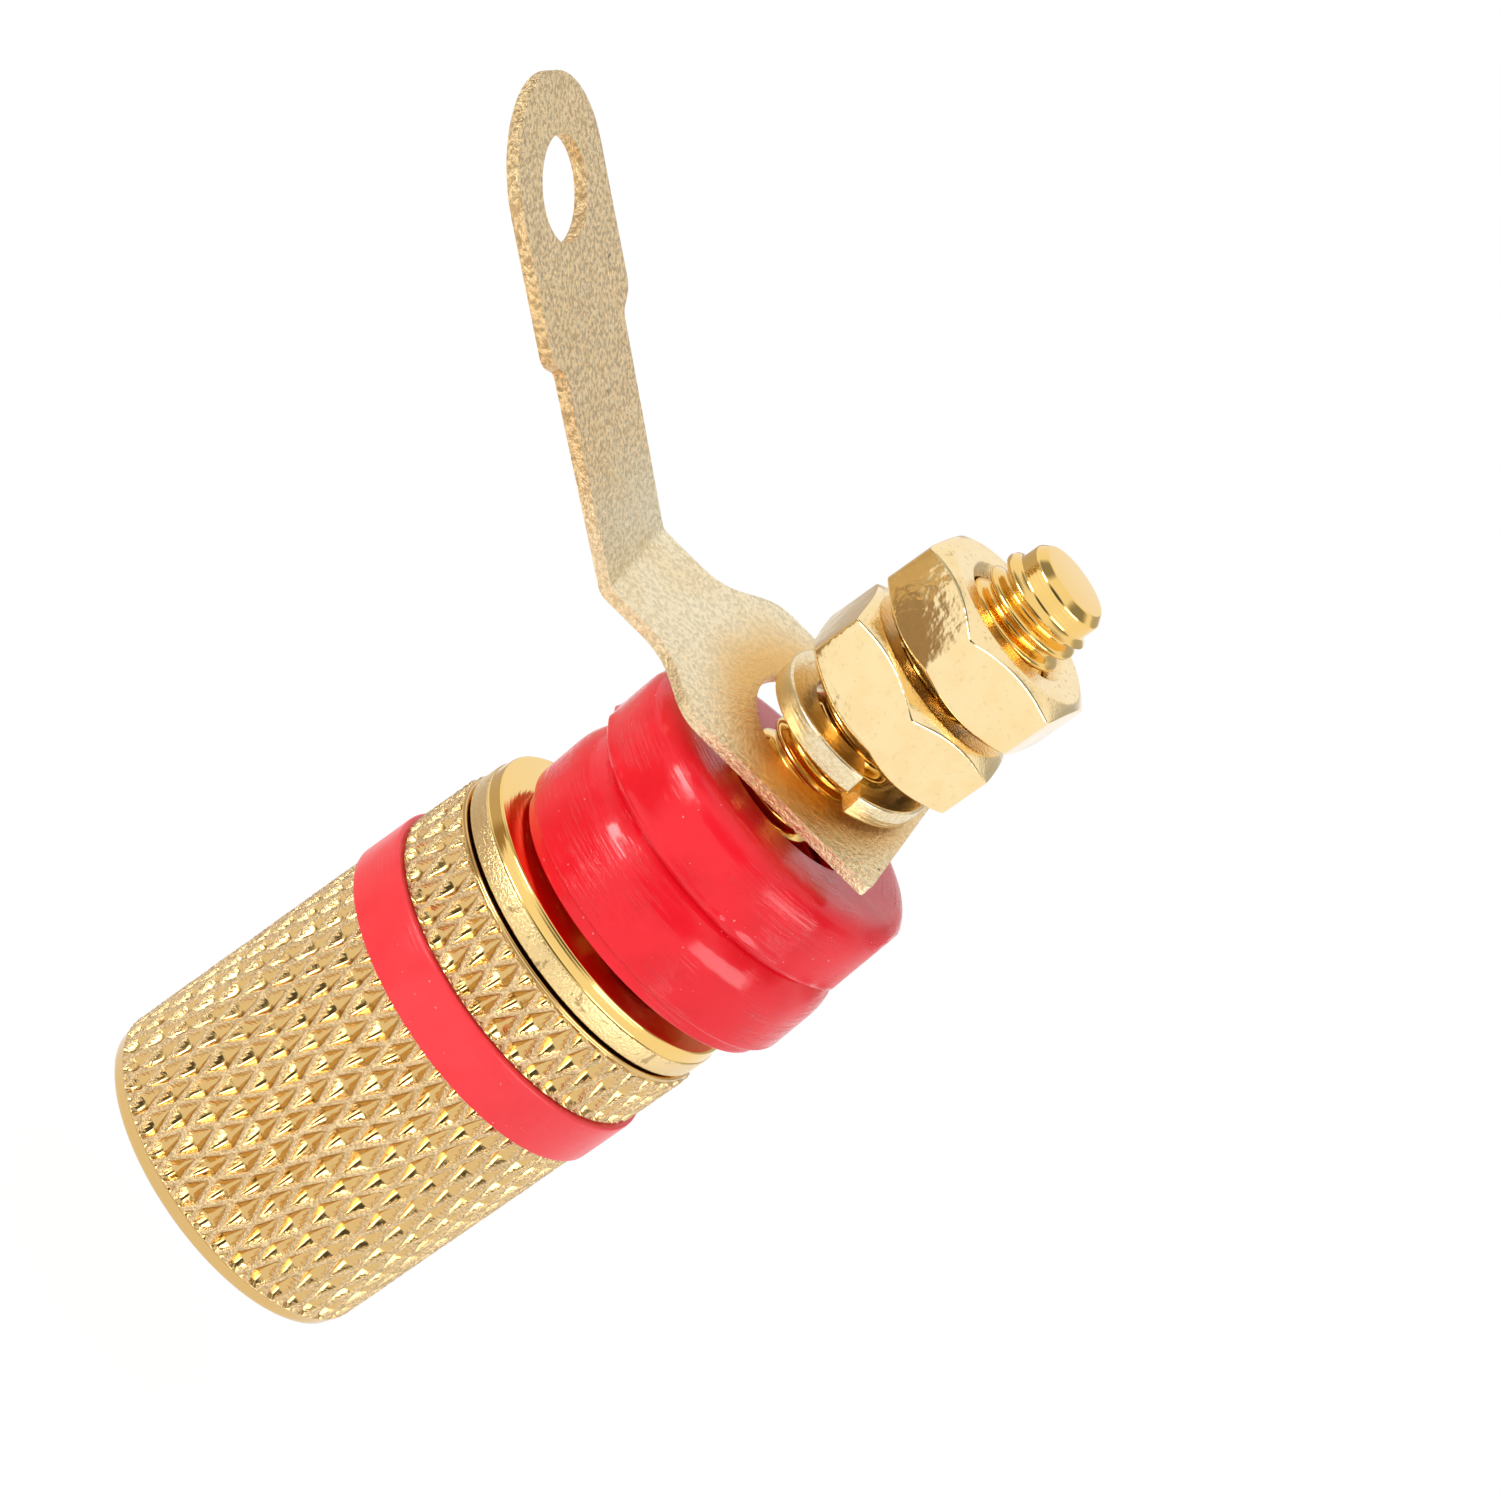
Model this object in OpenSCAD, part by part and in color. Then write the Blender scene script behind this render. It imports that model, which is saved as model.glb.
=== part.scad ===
// Gold-plated loudspeaker binding post for a panel.
// The post stands on the open end of its thumb nut; +Z runs along the post towards the stud's tip.

/* [Thumb nut] */
// Diameter over the crests of the knurl
thumb_d = 12.4; // [11.6:0.1:14]
// Length of the thumb nut
thumb_len = 15.9; // [14.5:0.1:18]
// Length of the knurl between the open end and the colour ring
front_knurl_len = 10.6; // [9:0.1:11]
// Width of the smooth rim at the open end
end_rim = 0.5; // [0.4:0.05:0.8]
// Width of the smooth rim at the collar end
rear_rim = 0.15; // [0.1:0.05:0.3]
// Diamonds in one turn of the knurl
knurl_count = 41; // [30:1:56]
// Length of one diamond along the nut
knurl_pitch = 2.3; // [1.8:0.1:3]
// Depth of the knurl
knurl_depth = 0.32; // [0.2:0.02:0.4]
// Diameter of the plug opening in the end lip
mouth_d = 6; // [5:0.1:6.4]
// Thickness of the end lip
lip_t = 1; // [0.7:0.1:1.2]

/* [Colour ring] */
// How far the colour ring stands proud of the knurl
ring_proud = 0.17; // [0:0.01:0.4]
// Width of the colour ring
ring_w = 2.05; // [1.5:0.05:2.5]
// Depth of the seat that the ring lies in, below the knurl crests
ring_seat = 0.75; // [0.6:0.05:1]

/* [Post] */
// Outer diameter of the front thread that carries the thumb nut
front_thread_d = 7; // [6.6:0.1:7.6]
// Diameter of the plug socket
socket_d = 4; // [3.9:0.05:4.2]
// Depth of the plug socket
socket_depth = 9.6; // [8:0.1:9.8]
// Diameter of the cross hole for bare wire
wire_hole_d = 2.6; // [2:0.1:2.8]
// Diameter of the collar
collar_d = 12.1; // [11:0.1:13]
// Length of the collar
collar_len = 1.35; // [1:0.05:1.8]
// Outer diameter of the stud's thread
stud_d = 3.9; // [3.8:0.02:4]
// Length of the stud behind the collar
stud_len = 19.65; // [19:0.05:24]
// Chamfer at the stud's tip
tip_chamfer = 0.6; // [0.3:0.05:0.8]

/* [Insulators] */
// Diameter of both insulators
insulator_d = 12.05; // [11:0.05:13]
// Thickness of the front insulator's flange
front_flange = 3.25; // [3:0.05:4.2]
// Length over which its rim falls away towards the panel
crown_len = 1.5; // [0.8:0.1:1.8]
// Radius of that fall
crown_r = 2.5; // [2:0.1:4]
// Height of the front insulator's boss towards the collar
front_boss = 0.55; // [0.3:0.05:0.7]
// How far the boss stands in from the rim
boss_inset = 0.33; // [0.2:0.01:0.8]
// Thickness of the rear insulator
rear_flange = 2.9; // [2:0.05:3.2]
// Rounding of the rear insulator's outer edge
rear_round = 1.1; // [0.6:0.05:1.4]
// Diameter of the spigot that fills the panel hole
spigot_d = 8; // [7.6:0.1:9]
// Length of the spigot
spigot_len = 1.3; // [1:0.05:1.6]
// Bore through both insulators
insulator_bore = 6.1; // [6.1:0.05:6.4]
// Lean of the slack insulators
insulator_lean = 4.8; // [0:0.1:5]
// Sideways drop of the slack insulators
insulator_drop = 0.7; // [0:0.01:0.72]

/* [Solder lug] */
// Distance from the rear insulator to the middle of the slack lug
lug_stand = 1.8; // [1.75:0.05:2]
// Thickness of the sheet
lug_t = 0.45; // [0.3:0.05:0.5]
// Width of the seat round the stud
lug_w = 8.7; // [8:0.1:9.4]
// Hole in the seat
lug_hole_d = 5.3; // [5.2:0.05:5.6]
// Length of the seat behind the hole's centre
lug_back = 4.5; // [4:0.1:5]
// Width of the neck
neck_w = 5; // [4:0.1:5.4]
// Distance from the hole's centre to the bend
bend_at = 8.2; // [7.6:0.1:9]
// Angle of the bend
bend_angle = 38; // [20:1:50]
// Length of the arm beyond the bend
arm_len = 16.8; // [14:0.1:20]
// Width of the arm's end
arm_end_w = 7; // [6:0.1:8]
// Hole for the wire in the arm's end
wire_eye_d = 3.6; // [3:0.1:4]

/* [Nuts and spring washer] */
// Distance from the rear insulator to the inner nut
nut_stand = 4; // [3.6:0.1:5.4]
// Space between the two nuts
nut_space = 0.4; // [0.2:0.05:1]
// Size of the nuts across their flats
nut_af = 7; // [6.6:0.1:7.4]
// Thickness of a nut
nut_t = 2.8; // [2.4:0.1:2.9]
// Outer diameter of the spring washer
washer_d = 6.6; // [6.2:0.1:7]
// Thickness of the spring washer
washer_t = 0.85; // [0.7:0.05:0.9]
// Rise of the split from one end to the other
washer_rise = 0.68; // [0.4:0.02:0.7]

/* [Hidden] */
$fn = 96;

gold = [0.86, 0.68, 0.33];
pale_gold = [0.93, 0.78, 0.47];
red = [0.9, 0.08, 0.12];

// running gap in the threads, between ring and seat, and at the faces of the thumb nut
thread_gap = 0.05;
ring_gap = 0.03;
collar_gap = 0.1;
lip_gap = 0.3;
edge = 0.15;
eps = 0.01;

// places along the post, from the open end of the thumb nut
collar_z = thumb_len + collar_gap;
stud_z = collar_z + collar_len;
tip_z = stud_z + stud_len;
barrel_z = lip_t + lip_gap;
ring_z = end_rim + front_knurl_len;
ring_d = thumb_d + 2 * ring_proud;
ring_root_d = thumb_d - 2 * ring_seat;
socket_end = barrel_z + socket_depth;
wire_hole_z = collar_z - 0.9 - wire_hole_d / 2;

// the insulators start just clear of the collar, at their low side
boss_d = insulator_d - 2 * boss_inset;
boss_z = stud_z + 0.1 + boss_d / 2 * sin(insulator_lean);
front_z = boss_z + front_boss;
panel_z = front_z + front_flange;
rear_z = panel_z + rear_flange;
spigot_gap = 0.1;

lug_z = rear_z + lug_stand;
lug_lean = [-12.2, 8, 7.3];
lug_shift = [0.7, 0.13];
lug_hole_x = -0.12;
inner_nut_z = rear_z + nut_stand;
outer_nut_z = inner_nut_z + nut_t + nut_space;
inner_nut_turn = 9;
outer_nut_turn = -6;
nut_bore_d = stud_d + 2 * thread_gap;

washer_bore_d = stud_d + 0.35;
washer_z = inner_nut_z - 0.22 - washer_t;
washer_mid = washer_z + (washer_t - washer_rise) / 2;
washer_lean = [-7.2, 6.4, 0];
washer_start = 23;
washer_span = 352;
washer_steps = 60;

// ---------- shared shapes ----------

// Closed ring with rounded corners: inner and outer radius, height, and the radii of its
// outer corners below and above
module rounded_ring(r_in, r_out, h, low_r, high_r) {
    rotate_extrude()
    difference() {
        translate([r_in, 0])
            square([r_out - r_in, h]);
        corner_cut(r_out, 0, low_r, 0);
        corner_cut(r_out, h, high_r, 1);
    }
}

// What rounding one outer corner takes away from the profile
module corner_cut(r_out, z, r, top) {
    if (r > 0)
        difference() {
            translate([r_out - r, top ? z - r : z - 1])
                square([r + 1, r + 1]);
            translate([r_out - r, top ? z - r : z + r])
                circle(r);
        }
}

// Solid with a diamond net on its side: raised ridges run along two helices, with a pit in each diamond.
// Both ends run out at the depth of the pits, inside the plain rims that they meet.
module knurl(r, h) {
    rows = max(2, round(h / (knurl_pitch / 2)));
    sides = 2 * knurl_count;
    ring_r = function(row, i) row == 0 || row == rows || (row + i) % 2 == 1 ? r - knurl_depth : r;
    points = [for (row = [0:rows]) for (i = [0:sides - 1])
        let (a = 360 / sides * i, rr = ring_r(row, i))
        [rr * cos(a), rr * sin(a), h * row / rows]];
    quad = function(row, i) let (a = row * sides + i, b = row * sides + (i + 1) % sides,
                                 c = b + sides, d = a + sides)
        (row + i) % 2 == 0 ? [[a, c, b], [a, d, c]] : [[a, d, b], [b, d, c]];
    faces = [for (row = [0:rows - 1]) for (i = [0:sides - 1]) each quad(row, i)];
    polyhedron(points, concat(faces,
        [[for (i = [0:sides - 1]) i]],
        [[for (i = [sides - 1:-1:0]) rows * sides + i]]), convexity = 4);
}

// ---------- thumb nut and its ring ----------

module thumb_nut() {
    color(gold)
    difference() {
        union() {
            rounded_ring(0, thumb_d / 2 - 0.1, end_rim + eps, 0.35, 0);
            translate([0, 0, end_rim - eps])
                knurl(thumb_d / 2, front_knurl_len + eps);
            translate([0, 0, ring_z - eps])
                cylinder(d = ring_root_d, h = ring_w + 2 * ring_gap + 2 * eps);
            translate([0, 0, ring_z + ring_w + 2 * ring_gap])
                knurl(thumb_d / 2, thumb_len - rear_rim - ring_z - ring_w - 2 * ring_gap + eps);
            translate([0, 0, thumb_len - rear_rim])
                rounded_ring(0, thumb_d / 2 - 0.1, rear_rim, 0, 0);
        }
        // opening for the plug, with a lead-in
        translate([0, 0, -1])
            cylinder(d = mouth_d, h = lip_t + 2);
        translate([0, 0, -eps])
            cylinder(d1 = mouth_d + 0.8, d2 = mouth_d, h = 0.4);
        // bore that runs on the post's front thread
        translate([0, 0, lip_t])
            cylinder(d = front_thread_d + 2 * thread_gap, h = thumb_len);
        // countersink at the collar end
        translate([0, 0, thumb_len - 0.5])
            cylinder(d1 = front_thread_d + 2 * thread_gap, d2 = front_thread_d + 1.2, h = 0.5 + eps);
    }
}

module colour_ring() {
    color(red)
    translate([0, 0, ring_z + ring_gap])
        rounded_ring(ring_root_d / 2 + ring_gap, ring_d / 2, ring_w, 0.05, 0.12);
}

// ---------- post ----------

module post() {
    color(gold)
    difference() {
        rotate_extrude()
            polygon([
                [0, barrel_z],
                [front_thread_d / 2 - 0.4, barrel_z],
                [front_thread_d / 2, barrel_z + 0.4],
                [front_thread_d / 2, collar_z],
                [collar_d / 2 - edge, collar_z],
                [collar_d / 2, collar_z + edge],
                [collar_d / 2, stud_z - edge],
                [collar_d / 2 - edge, stud_z],
                [stud_d / 2, stud_z],
                [stud_d / 2, tip_z - tip_chamfer],
                [stud_d / 2 - tip_chamfer, tip_z],
                [0, tip_z],
            ]);
        // plug socket with its lead-in and drill point
        translate([0, 0, barrel_z - 1])
            cylinder(d = socket_d, h = socket_depth + 1);
        translate([0, 0, barrel_z - eps])
            cylinder(d1 = socket_d + 0.8, d2 = socket_d, h = 0.4);
        translate([0, 0, socket_end - eps])
            cylinder(d1 = socket_d, d2 = 0, h = 0.3 * socket_d);
        // cross hole for bare wire, square to the lug's arm
        translate([0, 0, wire_hole_z])
            rotate([90, 0, 0])
                cylinder(d = wire_hole_d, h = 2 * front_thread_d, center = true);
    }
}

// ---------- insulators ----------

// The slack pair hangs to one side of the stud and leans as one
module leaning() {
    middle = (boss_z + rear_z) / 2;
    translate([-insulator_drop, 0, middle])
        rotate([0, insulator_lean, 0])
            translate([0, 0, -middle])
                children();
}

// Disc whose rim is rounded below and falls away in one arc above
module crowned_disc(r_out, h, low_r) {
    rotate_extrude()
    difference() {
        square([r_out, h]);
        corner_cut(r_out, 0, low_r, 0);
        difference() {
            translate([r_out - crown_r, h - crown_len])
                square([crown_r + 1, crown_len + 1]);
            translate([r_out - crown_r, h - crown_len])
                circle(crown_r);
        }
    }
}

module front_insulator() {
    color(red)
    leaning()
    difference() {
        union() {
            translate([0, 0, boss_z])
                cylinder(d = boss_d, h = front_boss + eps);
            translate([0, 0, front_z])
                crowned_disc(insulator_d / 2, front_flange, 0.3);
            translate([0, 0, panel_z - eps])
                cylinder(d = spigot_d, h = spigot_len + eps);
            // stub of the moulding gate
            translate([-insulator_d / 2 - 0.1, -0.9, front_z + 0.7])
                cube([1, 1.8, 1]);
        }
        translate([0, 0, boss_z - 1])
            cylinder(d = insulator_bore, h = front_flange + spigot_len + 3);
    }
}

module rear_insulator() {
    color(red)
    leaning()
    difference() {
        translate([0, 0, panel_z])
            rounded_ring(0, insulator_d / 2, rear_flange, 0.12, rear_round);
        translate([0, 0, panel_z - 1])
            cylinder(d = insulator_bore, h = rear_flange + 2);
        translate([0, 0, panel_z - 1])
            cylinder(d = spigot_d + 2 * spigot_gap, h = spigot_len + spigot_gap + 1);
        // flat left where the gate was trimmed
        translate([-insulator_d / 2 - 1 + 0.22, -3, panel_z - 1])
            cube([1, 6, rear_flange + 2]);
    }
}

// ---------- solder lug ----------

module lug_pose() {
    translate([lug_shift.x, lug_shift.y, lug_z])
        rotate(lug_lean)
            translate([0, 0, -lug_t / 2])
                children();
}

// Seat with its shoulders and the neck, up to the bend
module lug_seat() {
    shoulder = lug_w / 2 - 0.55;
    linear_extrude(lug_t)
    difference() {
        polygon([
            [-lug_back, -lug_w / 2], [shoulder, -lug_w / 2], [shoulder + 1.9, -neck_w / 2],
            [bend_at, -neck_w / 2], [bend_at, neck_w / 2], [shoulder + 1.9, neck_w / 2],
            [shoulder, lug_w / 2], [-lug_back, lug_w / 2],
        ]);
        translate([lug_hole_x, 0])
            circle(d = lug_hole_d);
    }
}

// Arm from the bend to its round eye end
module lug_arm() {
    shank = 7.6;
    shank_w = neck_w + 0.4;
    linear_extrude(lug_t)
    difference() {
        union() {
            polygon([
                [0, -neck_w / 2], [shank, -shank_w / 2], [shank + 0.5, -arm_end_w / 2],
                [arm_len - arm_end_w / 2, -arm_end_w / 2], [arm_len - arm_end_w / 2, arm_end_w / 2],
                [shank + 0.5, arm_end_w / 2], [shank, shank_w / 2], [0, neck_w / 2],
            ]);
            translate([arm_len - arm_end_w / 2, 0])
                circle(d = arm_end_w);
        }
        translate([arm_len - arm_end_w / 2 - 0.35, 0])
            circle(d = wire_eye_d);
    }
}

module solder_lug() {
    inner_r = 0.5;
    color(pale_gold)
    lug_pose() {
        union() {
            lug_seat();
            // the bend, about an axis above the sheet
            translate([bend_at, 0, lug_t + inner_r])
                rotate([90, 0, 0])
                    rotate([0, 0, -90])
                        translate([0, 0, -neck_w / 2])
                            rotate_extrude(angle = bend_angle)
                                translate([inner_r, 0])
                                    square([lug_t, neck_w]);
            translate([bend_at, 0, lug_t + inner_r])
                rotate([0, -bend_angle, 0])
                    translate([0, 0, -lug_t - inner_r])
                        lug_arm();
        }
    }
}

// ---------- spring washer ----------

// Split ring: a flat section swept round most of a turn while it rises
module spring_washer() {
    r_in = washer_bore_d / 2;
    r_out = washer_d / 2;
    section = [[r_in, 0], [r_out, 0], [r_out, washer_t], [r_in, washer_t]];
    points = [for (i = [0:washer_steps])
        let (turned = i / washer_steps, a = 90 + washer_start - washer_span * turned)
        for (p = section) [p.x * cos(a), p.x * sin(a), washer_z - washer_rise * turned + p.y]];
    sides = [for (i = [0:washer_steps - 1]) for (j = [0:3])
        let (a = 4 * i + j, b = 4 * i + (j + 1) % 4)
        each [[a, b + 4, b], [a, a + 4, b + 4]]];
    last = 4 * washer_steps;
    color(pale_gold)
    translate([0, 0, washer_mid])
        rotate(washer_lean)
            translate([0, 0, -washer_mid])
                polyhedron(points, concat(sides, [[0, 1, 2, 3]], [[last + 3, last + 2, last + 1, last]]));
}

// ---------- nuts ----------

// Hexagon with its corners turned off at 30 degrees on both faces, and a countersunk bore
module nut() {
    across_corners = nut_af / cos(30);
    turned = across_corners * 1.2;
    slope = tan(30);
    top_r = nut_af / 2 * 0.97;
    difference() {
        intersection() {
            cylinder(d = across_corners, h = nut_t, $fn = 6);
            rotate_extrude()
                polygon([
                    [0, 0], [top_r, 0], [turned / 2, (turned / 2 - top_r) * slope],
                    [turned / 2, nut_t - (turned / 2 - top_r) * slope], [top_r, nut_t], [0, nut_t],
                ]);
        }
        translate([0, 0, -1])
            cylinder(d = nut_bore_d, h = nut_t + 2);
        translate([0, 0, nut_t - 0.35])
            cylinder(d1 = nut_bore_d, d2 = nut_bore_d + 0.7, h = 0.35 + eps);
        translate([0, 0, -eps])
            cylinder(d1 = nut_bore_d + 0.7, d2 = nut_bore_d, h = 0.35);
    }
}

module inner_nut() {
    color(pale_gold)
    translate([0, 0, inner_nut_z])
        rotate(90 + inner_nut_turn)
            nut();
}

module outer_nut() {
    color(pale_gold)
    translate([0, 0, outer_nut_z])
        rotate(90 + outer_nut_turn)
            nut();
}

post();
thumb_nut();
colour_ring();
front_insulator();
rear_insulator();
solder_lug();
spring_washer();
inner_nut();
outer_nut();
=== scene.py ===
import math

import bmesh
import bpy
import numpy as np
from bpy.props import FloatProperty, FloatVectorProperty, IntProperty, PointerProperty
from mathutils import Matrix, Vector, noise


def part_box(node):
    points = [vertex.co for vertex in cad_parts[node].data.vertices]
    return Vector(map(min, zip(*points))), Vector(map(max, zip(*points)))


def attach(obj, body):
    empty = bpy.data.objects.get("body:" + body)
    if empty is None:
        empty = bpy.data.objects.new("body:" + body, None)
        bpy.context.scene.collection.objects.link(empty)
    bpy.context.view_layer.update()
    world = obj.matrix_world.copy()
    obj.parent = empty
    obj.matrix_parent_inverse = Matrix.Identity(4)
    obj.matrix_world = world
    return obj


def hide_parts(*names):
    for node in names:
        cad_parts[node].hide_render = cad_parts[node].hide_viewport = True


bl_info = {
    "name": "Binding Post",
    "version": (1, 0, 0),
    "blender": (4, 5, 0),
    "location": "3D View > Sidebar > Binding Post",
    "description": "Makes the visible pieces and finishes of a gold-plated binding post",
    "category": "Object",
}

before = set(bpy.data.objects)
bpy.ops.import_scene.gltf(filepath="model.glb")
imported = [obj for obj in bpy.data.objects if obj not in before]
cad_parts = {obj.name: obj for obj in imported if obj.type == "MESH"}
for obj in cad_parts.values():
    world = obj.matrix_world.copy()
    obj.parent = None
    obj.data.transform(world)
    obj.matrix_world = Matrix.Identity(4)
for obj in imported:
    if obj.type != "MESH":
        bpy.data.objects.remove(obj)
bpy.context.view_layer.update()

MM = 0.001
TURN = 2 * math.pi

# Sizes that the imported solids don't give, in mm: R is a radius, Z a height, T a thickness
# Thumb nut and the seat of its ring
LIP = 1.0
BORE_R = 3.55
MOUTH_R = 3.0
RIM_R = 6.08
KNURL_R = 6.2
SEAT_R = 5.45
# Post
BARREL_R = 3.5
SOCKET_R = 2.0
STUD_R = 1.95
TIP_R = 1.66
CROSS_HOLE_R = 1.3
CROSS_HOLE_Z = 13.8
STUD_THREAD_DEPTH = 0.4
FRONT_THREAD_DEPTH = 0.5
# Insulators
INSULATOR_R = 6.025
INSULATOR_BORE_R = 3.05
BOSS_STEP = 0.33
BOSS_LEN = 0.55
FRONT_LEN = 3.25
REAR_LEN = 2.9
SPIGOT_R = 4.0
CROWN_LEN = 1.5
CROWN_R = 2.1
# Lug: its sheet, its bend, half its width at the seat, the neck and the eye, and its holes
LUG_T = 0.45
BEND_AT = 8.2
BEND = math.radians(38)
BEND_R = 0.5
SEAT_HALF = 4.35
NECK_HALF = 2.5
EYE_HALF = 3.5
EYE_AT = 13.3
EYE_HOLE_AT = 12.95
EYE_HOLE_R = 1.8
SEAT_HOLE_X = -0.12
SEAT_HOLE_R = 2.65
# Washer: inner and outer radius, how far it rises round its turn, and its gap to the inner nut
WASHER_R = (2.125, 3.3)
WASHER_T = 0.85
WASHER_RISE = 0.68
WASHER_GAP = 0.22
# Nuts
NUT_AF = 7.0
NUT_BORE_R = 2.0
NUT_RIM_R = 2.35
NUT_SINK = 0.35
NUT_EDGE = 0.07

# How much of its width a nut's flat face takes up, and how steep the chamfer beside it is
NUT_FACE_SHARE = 0.93
NUT_CHAMFER = math.tan(math.pi / 5.5)
# How much narrower one set of the knurl's ridges is than the other, and how full its pits are
RIDGE_RATIO = 1.1
PIT_FULLNESS = 1.35

# How the loose pieces hang. Insulators: their lean, and how far they drop in mm
LEAN = math.radians(4.8)
DROP = -0.7
# Lug: its turn about X, Y and Z, and its place, the last in mm beyond the rear insulator
LUG_TURN = tuple(math.radians(turn) for turn in (-12.2, 8, 7.3))
LUG_PLACE = (0.7, 0.13, 1.8)
# Washer: its turn about Y and X, and in degrees from the X axis where its split starts and how far round it goes
WASHER_TURN = tuple(math.radians(turn) for turn in (6.4, -7.2))
WASHER_START, WASHER_SPAN = 113, 352
# Nuts: where one corner of each points, in degrees from the X axis
NUT_TURNS = {"inner_nut": 99, "outer_nut": 84}


def mm_box(node):
    """Lowest and highest corner of a CAD node at rest, in mm."""
    low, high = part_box(node)
    return np.array(low) / MM, np.array(high) / MM


THUMB_END = mm_box("thumb_nut")[1][2]
RING_LOW, RING_HIGH = (corner[2] for corner in mm_box("colour_ring"))
RING_R = mm_box("colour_ring")[1][0]
BARREL_Z = mm_box("post")[0][2]
TIP_Z = mm_box("post")[1][2]
COLLAR_R = mm_box("post")[1][0]
COLLAR_Z = THUMB_END + 0.1
STUD_Z = COLLAR_Z + 1.35
BOSS_R = INSULATOR_R - BOSS_STEP
BOSS_Z = STUD_Z + 0.1 + BOSS_R * math.sin(LEAN)
FRONT_Z = BOSS_Z + BOSS_LEN
PANEL_Z = FRONT_Z + FRONT_LEN
REAR_Z = PANEL_Z + REAR_LEN


# ---------- shapes ----------


def ease(low, high, value):
    """0 below low, 1 above high, and a smooth step between."""
    t = np.clip((value - low) / (high - low), 0, 1)
    return t * t * (3 - 2 * t)


def rounded(corners, closed=True, steps=5):
    """A line through corners (x, y, radius) with each corner rounded."""
    points = []
    count = len(corners)
    for i, (x, y, radius) in enumerate(corners):
        here = Vector((x, y))
        if radius <= 0 or (not closed and i in (0, count - 1)):
            points.append(here)
            continue
        back = Vector(corners[i - 1][:2]) - here
        on = Vector(corners[(i + 1) % count][:2]) - here
        reach = min(radius, back.length * 0.48, on.length * 0.48)
        start, end = here + back.normalized() * reach, here + on.normalized() * reach
        for step in range(steps + 1):
            t = step / steps
            points.append(start * (1 - t) ** 2 + here * 2 * t * (1 - t) + end * t * t)
    return np.array([tuple(p) for p in points])


def divided(line, step, wanted):
    """The same closed or open line with more points on each segment that wanted() accepts."""
    out = []
    for a, b in zip(line[:-1], line[1:]):
        parts = max(1, round(np.linalg.norm(b - a) / step)) if wanted(a, b) else 1
        out.extend(a + (b - a) * k / parts for k in range(parts))
    out.append(line[-1])
    return np.array(out)


def angles(around):
    """Evenly spaced angles, once round."""
    return np.arange(around) / around * TURN


def all_round(line, around):
    """The radius and height of each row of a profile, at each angle round it, and those angles."""
    a = angles(around)[None, :]
    return line[:, :1] + 0 * a, line[:, 1:] + 0 * a, a


def paint(mesh, mask, values):
    """Gives a mesh a mask that a finish can read, 0 to 1 at each point."""
    layer = mesh.attributes.new(mask, "FLOAT", "POINT")
    layer.data.foreach_set("value", np.asarray(values, dtype=np.float32).ravel())


def new_piece(name, points, faces, masks=None, merge=True):
    """A mesh object from points in mm, with its faces turned outwards and smooth."""
    mesh = bpy.data.meshes.new(name)
    mesh.from_pydata((np.asarray(points) * MM).tolist(), [], [list(f) for f in faces])
    for mask, values in (masks or {}).items():
        paint(mesh, mask, values)
    work = bmesh.new()
    work.from_mesh(mesh)
    if merge:
        bmesh.ops.remove_doubles(work, verts=work.verts, dist=1e-8)
    bmesh.ops.recalc_face_normals(work, faces=work.faces)
    work.to_mesh(mesh)
    work.free()
    piece = bpy.data.objects.new(name, mesh)
    bpy.context.scene.collection.objects.link(piece)
    mesh.shade_smooth()
    return piece


def turned(name, r, z, closed=True, masks=None):
    """A turned piece: r and z give each row of the profile all the way round."""
    rows, around = r.shape
    a = angles(around)
    points = np.stack([r * np.cos(a), r * np.sin(a), z], -1).reshape(-1, 3)
    i = np.arange(rows if closed else rows - 1)[:, None]
    j = np.arange(around)[None, :]
    here, after = i * around, (i + 1) % rows * around
    side = (j + 1) % around
    faces = np.stack([here + j, here + side, after + side, after + j], -1).reshape(-1, 4)
    return new_piece(name, points, faces.tolist(), masks)


def applied(piece):
    """Bakes a piece's modifiers into its mesh."""
    graph = bpy.context.evaluated_depsgraph_get()
    mesh = bpy.data.meshes.new_from_object(piece.evaluated_get(graph))
    piece.modifiers.clear()
    piece.data = mesh


def wobble(points, size, seed):
    """Smooth noise at points in mm, about -1 to 1, with features of that size."""
    shift = Vector((seed, seed * 0.7, seed * 1.3))
    return np.array([noise.noise(Vector(p) / size + shift) for p in points])


def thread_cut(a, z, pitch):
    """How far a thread has gone from its crest to its root, 0 to 1, for a right-hand thread."""
    along = np.abs(np.mod(z / pitch - a / TURN, 1) - 0.5) * 2
    return ease(0.1, 0.95, 1 - along)


# ---------- shader maths ----------


class Value:
    """A node socket that can be written into sums."""

    def __init__(self, graph, socket):
        self.graph, self.socket = graph, socket

    def math(self, operation, *others):
        return self.graph.node("ShaderNodeMath", dict(enumerate((self, *others))), operation=operation)

    def __add__(self, other):
        return self.math("ADD", other)

    def __sub__(self, other):
        return self.math("SUBTRACT", other)

    def __rsub__(self, other):
        return self.graph.node("ShaderNodeMath", {0: other, 1: self}, operation="SUBTRACT")

    def __mul__(self, other):
        return self.math("MULTIPLY", other)

    def __pow__(self, other):
        return self.math("POWER", other)

    __radd__ = __add__
    __rmul__ = __mul__

    def between(self, low, high):
        """0 at low, 1 at high, smooth between."""
        sockets = {"Value": self, "From Min": low, "From Max": high}
        return self.graph.node("ShaderNodeMapRange", sockets, interpolation_type="SMOOTHSTEP")


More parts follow.
